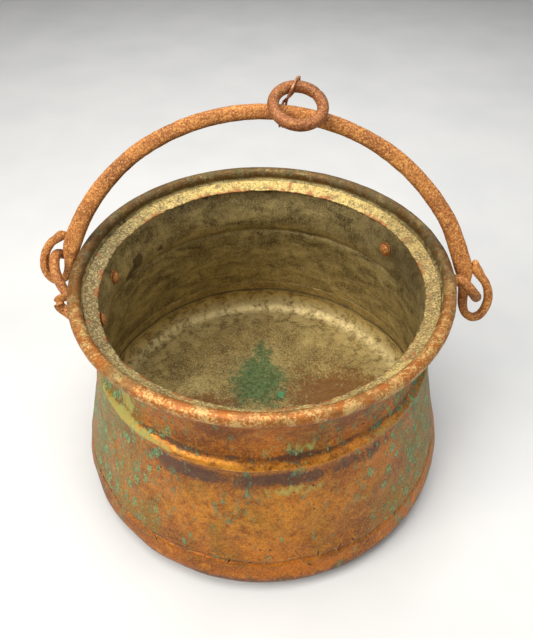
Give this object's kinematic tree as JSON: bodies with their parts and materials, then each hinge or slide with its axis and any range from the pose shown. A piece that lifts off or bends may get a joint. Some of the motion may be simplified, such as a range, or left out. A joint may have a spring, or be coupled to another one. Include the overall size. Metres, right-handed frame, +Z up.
{
  "type": "hammered copper cauldron",
  "caption": "Round copper cauldron with a rolled rim, a shoulder ridge, a flat bottom, a forged iron bail hooked into riveted lugs and a hanging ring on the bail.",
  "frame": {"origin": "middle of the flat bottom, on the ground", "axes": "+Z up, +X towards the right lug, so the bail spans along X"},
  "size_m": [0.349, 0.32, 0.3051],
  "materials": {
    "copper": "hammered, patinated with verdigris",
    "spelter": "dull brazed joint",
    "tinned": "tarnished tinning with a worn edge",
    "iron": "forged, pitted and rusty",
    "wire": "bent iron wire with a light rust"
  },
  "bodies": {
    "pot": {"copper_wall": "copper", "bottom_dish": "copper", "brazed_seam": "spelter", "rim_wire": "iron", "rim_collar": "tinned", "left_lug": "iron", "right_lug": "iron", "left_rivets": "iron", "right_rivets": "iron", "left_roves": "iron", "right_roves": "iron"},
    "bail": {"bail": "iron"},
    "ring": {"hanging_ring": "iron", "tie_wire": "wire"}
  },
  "joints": [
    {"name": "bail_swing", "type": "hinge", "parent": "pot", "child": "bail", "pos_m": [0.00316, 0.01223, 0.179], "axis": [0.9962, -0.0613, -0.0615], "range_deg": [-24, 24]},
    {"name": "ring_swing", "type": "hinge", "parent": "bail", "child": "ring", "pos_m": [0.02364, 0.04763, 0.28351], "axis": [0.989, -0.0823, -0.1228], "range_deg": [-80, 50]}
  ]
}
